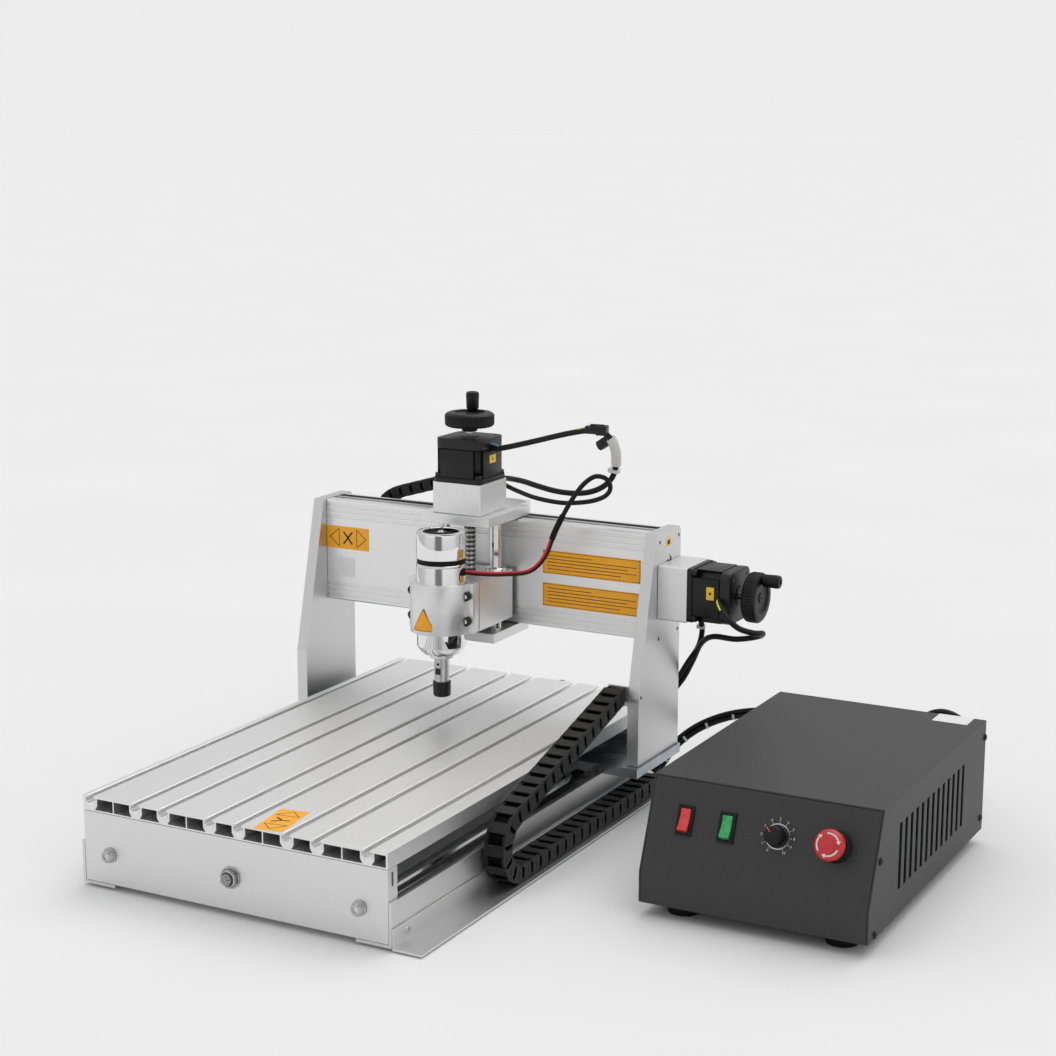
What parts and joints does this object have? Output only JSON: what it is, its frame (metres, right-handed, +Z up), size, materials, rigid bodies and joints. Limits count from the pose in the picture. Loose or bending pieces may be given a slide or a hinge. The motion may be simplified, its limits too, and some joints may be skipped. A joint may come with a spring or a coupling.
{
  "type": "cnc router",
  "caption": "Desktop gantry CNC router: slotted table, sliding gantry with X carriage and Z spindle head, motors with handwheels, cable chains and a separate control box.",
  "frame": {"origin": "on the floor, under the middle of the bounding box of the machine and its control box, without the free mains lead", "axes": "+X across the bed towards the X motor and the control box, +Y from the front plate to the rear, +Z up"},
  "size_m": [0.751, 0.6882, 0.4261],
  "materials": {
    "aluminium": "satin",
    "plate": "brushed",
    "steel": "polished",
    "chrome": "mirror",
    "motor_black": "satin",
    "black_plastic": "matte",
    "crank_steel": "satin",
    "powder_coat": "matte",
    "red_plastic": "gloss",
    "green_plastic": "gloss",
    "board_green": "satin",
    "cable_rubber": "matte"
  },
  "bodies": {
    "frame": {"table": "aluminium", "front_plate": "plate", "rear_plate": "plate", "side_rail_left": "plate", "side_rail_right": "plate", "chain_tray": "aluminium", "y_rod_left": "steel", "y_rod_right": "steel", "y_motor": "motor_black", "box_base": "powder_coat", "box_cover": "powder_coat", "power_switch_body": "black_plastic", "spindle_switch_body": "black_plastic", "estop_body": "black_plastic", "control_electronics": "board_green", "mains_inlet": "black_plastic", "box_harness": "cable_rubber", "mains_cord": "cable_rubber", "mains_coil": "cable_rubber", "mains_plug": "black_plastic"},
    "gantry": {"gantry_plate_left": "plate", "gantry_plate_right": "plate", "gantry_base_plate": "plate", "y_bearing_left": "plate", "y_bearing_right": "plate", "crossbeam": "aluminium", "x_rod_upper": "steel", "x_rod_lower": "steel", "x_motor_mount": "aluminium", "x_motor": "motor_black", "x_chain_tray": "aluminium", "y_chain": "black_plastic", "x_motor_cable": "cable_rubber"},
    "x_carriage": {"x_carriage_block": "plate", "z_top_plate": "plate", "z_bottom_plate": "plate", "z_rod_left": "steel", "z_rod_right": "steel", "z_motor_mount": "aluminium", "z_motor": "motor_black", "x_chain": "black_plastic", "z_motor_cable": "cable_rubber"},
    "z_slide": {"z_block": "aluminium", "spindle_clamp": "aluminium", "spindle_body": "chrome", "spindle_cable": "cable_rubber"},
    "rotor": {"spindle_shaft": "steel"},
    "y_drive": {"y_screw": "steel", "y_handwheel": "black_plastic"},
    "x_drive": {"x_screw": "steel", "x_handwheel": "black_plastic"},
    "z_drive": {"z_screw": "steel", "z_handwheel": "black_plastic"},
    "x_crank": {"x_crank": "crank_steel"},
    "z_crank": {"z_crank": "crank_steel"},
    "power_rocker": {"power_rocker": "red_plastic"},
    "spindle_rocker": {"spindle_rocker": "green_plastic"},
    "speed_knob": {"speed_knob": "black_plastic"},
    "estop_plunger": {"estop_plunger": "black_plastic"},
    "estop_head": {"estop_head": "red_plastic"}
  },
  "joints": [
    {"name": "y_travel", "type": "slide", "parent": "frame", "child": "gantry", "axis": [0, 1, 0], "range_m": [-0.375, 0.02], "deforming": ["y_chain"]},
    {"name": "x_travel", "type": "slide", "parent": "gantry", "child": "x_carriage", "axis": [1, 0, 0], "range_m": [-0.15, 0.145], "deforming": ["x_chain"]},
    {"name": "z_travel", "type": "slide", "parent": "x_carriage", "child": "z_slide", "axis": [0, 0, 1], "range_m": [-0.008, 0.045], "deforming": ["spindle_cable"]},
    {"name": "y_screw_spin", "type": "hinge", "parent": "frame", "child": "y_drive", "pos_m": [-0.1635, -0.32365, 0.038], "axis": [0, 1, 0], "range_deg": [-27001, 1441]},
    {"name": "x_screw_spin", "type": "hinge", "parent": "gantry", "child": "x_drive", "pos_m": [-0.1635, 0.16285, 0.2314], "axis": [1, 0, 0], "range_deg": [-10801, 10441]},
    {"name": "z_screw_spin", "type": "hinge", "parent": "x_carriage", "child": "z_drive", "pos_m": [-0.16, 0.10735, 0.3], "axis": [0, 0, 1], "range_deg": [-577, 3241]},
    {"name": "x_crank_spin", "type": "hinge", "parent": "x_drive", "child": "x_crank", "pos_m": [0.1535, 0.16285, 0.2499], "axis": [1, 0, 0], "continuous": true},
    {"name": "z_crank_spin", "type": "hinge", "parent": "z_drive", "child": "z_crank", "pos_m": [-0.16633, 0.12473, 0.41], "axis": [0, 0, 1], "continuous": true},
    {"name": "spindle_spin", "type": "hinge", "parent": "z_slide", "child": "rotor", "pos_m": [-0.16, 0.04735, 0.14], "axis": [0, 0, 1], "continuous": true},
    {"name": "power_tilt", "type": "hinge", "parent": "frame", "child": "power_rocker", "pos_m": [0.194, -0.12304, 0.09016], "axis": [1, 0, 0], "range_deg": [0, 18]},
    {"name": "spindle_tilt", "type": "hinge", "parent": "frame", "child": "spindle_rocker", "pos_m": [0.2345, -0.12304, 0.09016], "axis": [1, 0, 0], "range_deg": [0, 18]},
    {"name": "speed_turn", "type": "hinge", "parent": "frame", "child": "speed_knob", "pos_m": [0.283, -0.12304, 0.09016], "axis": [0, -0.9262, 0.3771], "range_deg": [-190, 90]},
    {"name": "estop_push", "type": "slide", "parent": "frame", "child": "estop_plunger", "axis": [0, 0.9262, -0.3771], "range_m": [0, 0.005]},
    {"name": "estop_twist", "type": "hinge", "parent": "estop_plunger", "child": "estop_head", "pos_m": [0.337, -0.12304, 0.09016], "axis": [0, -0.9262, 0.3771], "range_deg": [0, 30], "stiffness_Nm_per_rad": 0.05}
  ],
  "couplings": [
    {"joint": "y_screw_spin", "follows": "y_travel", "rad_per_m": 1256.6},
    {"joint": "x_screw_spin", "follows": "x_travel", "rad_per_m": 1256.6},
    {"joint": "z_screw_spin", "follows": "z_travel", "rad_per_m": 1256.6}
  ]
}
